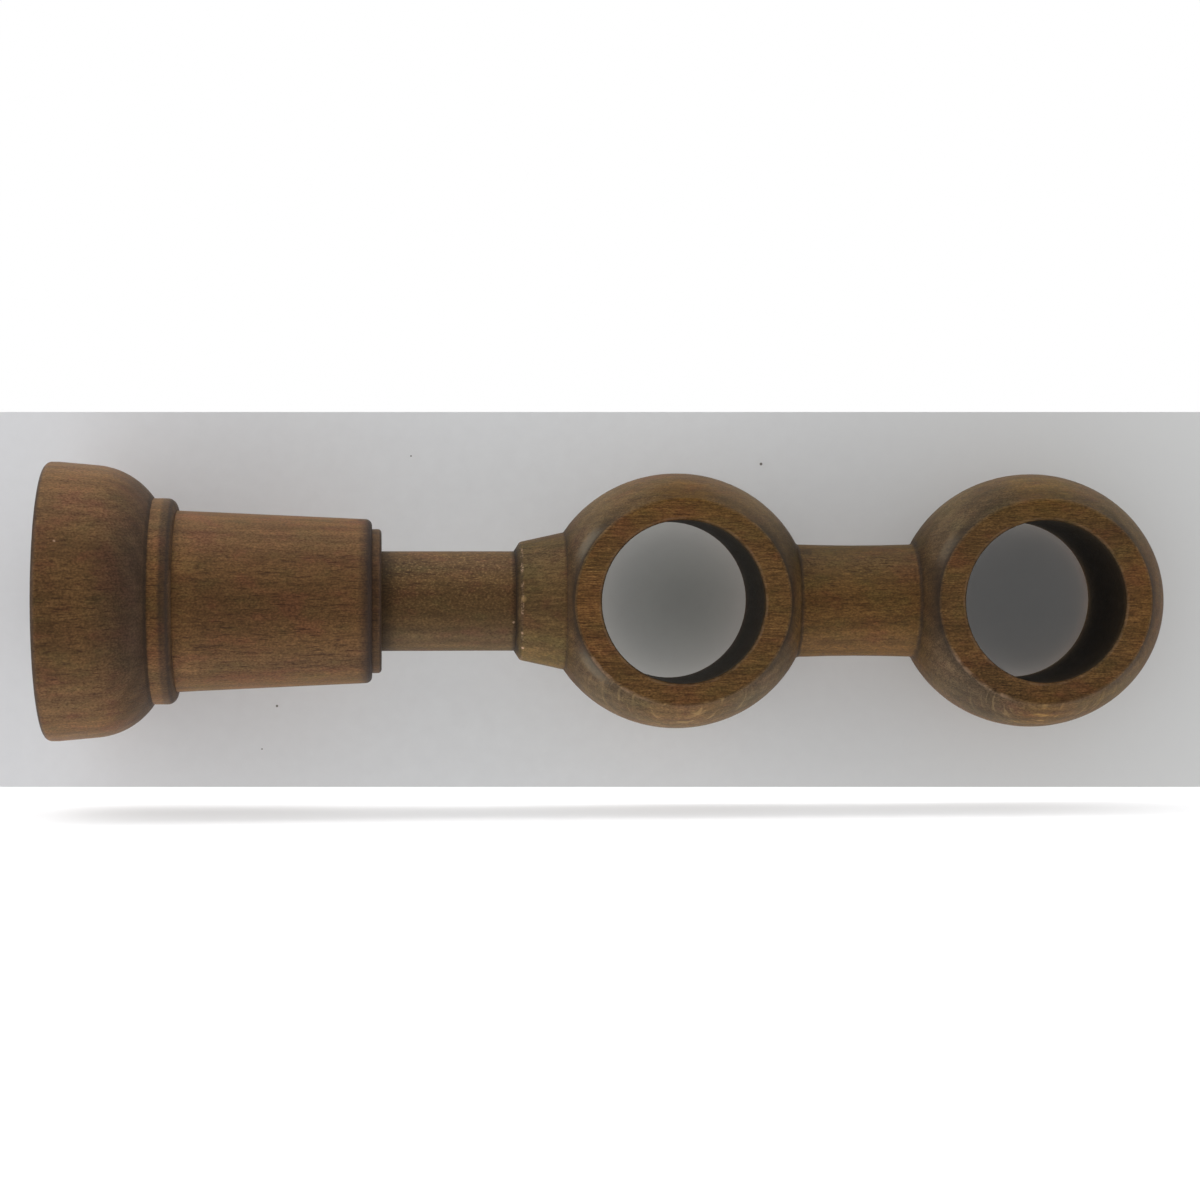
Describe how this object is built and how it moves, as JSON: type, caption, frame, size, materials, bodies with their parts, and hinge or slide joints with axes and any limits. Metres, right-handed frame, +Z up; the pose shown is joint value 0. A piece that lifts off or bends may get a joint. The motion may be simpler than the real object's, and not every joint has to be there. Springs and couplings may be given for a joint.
{
  "type": "curtain pole bracket",
  "caption": "Turned wooden wall bracket for a double curtain pole: bell-shaped base and neck dowel carrying ball-shaped pole rings in line, joined by a waisted link.",
  "frame": {"origin": "centre of the wall face, at the mouth of the wall bolt's hole", "axes": "+X out from the wall along the arm, +Z up, both pole bores along Y"},
  "size_m": [0.2026, 0.05, 0.05],
  "materials": {
    "base_wood": "stained beech, satin lacquer",
    "dowel_wood": "quarter-sawn stained beech, satin lacquer",
    "arm_wood": "stained beech, satin lacquer",
    "insert_brass": "machined"
  },
  "bodies": {
    "root": {"wall_base": "base_wood", "neck_dowel": "dowel_wood", "ring_arm": "arm_wood", "threaded_insert": "insert_brass"}
  },
  "joints": []
}
